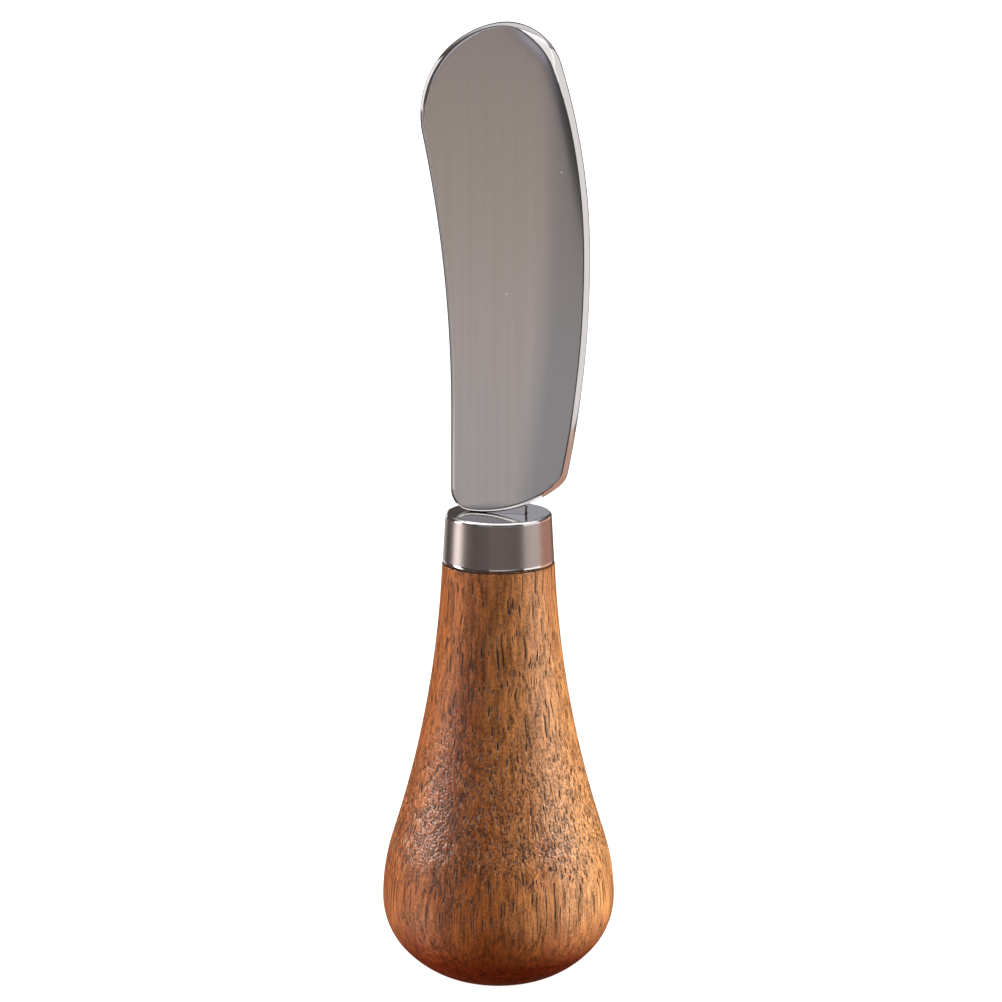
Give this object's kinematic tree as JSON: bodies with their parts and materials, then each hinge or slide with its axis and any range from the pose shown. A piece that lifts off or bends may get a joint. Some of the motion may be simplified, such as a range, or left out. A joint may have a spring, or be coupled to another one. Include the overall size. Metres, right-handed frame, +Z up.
{
  "type": "cheese spatula",
  "caption": "Short round-tipped spreader for soft cheese: a polished steel blade and ferrule on a pear-shaped turned wooden handle that stands on its flat foot.",
  "frame": {"origin": "centre of the flat foot, on the handle's axis", "axes": "+Z up the handle to the tip, blade in the XZ plane, +X towards the convex edge, -Y the side in the picture"},
  "size_m": [0.03, 0.03, 0.1249],
  "materials": {
    "handle_wood": "satin oiled, open pored",
    "tang_resin": "cast clear resin, hidden",
    "ferrule_steel": "satin wall with polished edges",
    "blade_steel": "fine polish with polished round edges"
  },
  "bodies": {
    "root": {"handle": "handle_wood", "tang_epoxy": "tang_resin", "ferrule": "ferrule_steel", "blade": "blade_steel"}
  },
  "joints": []
}
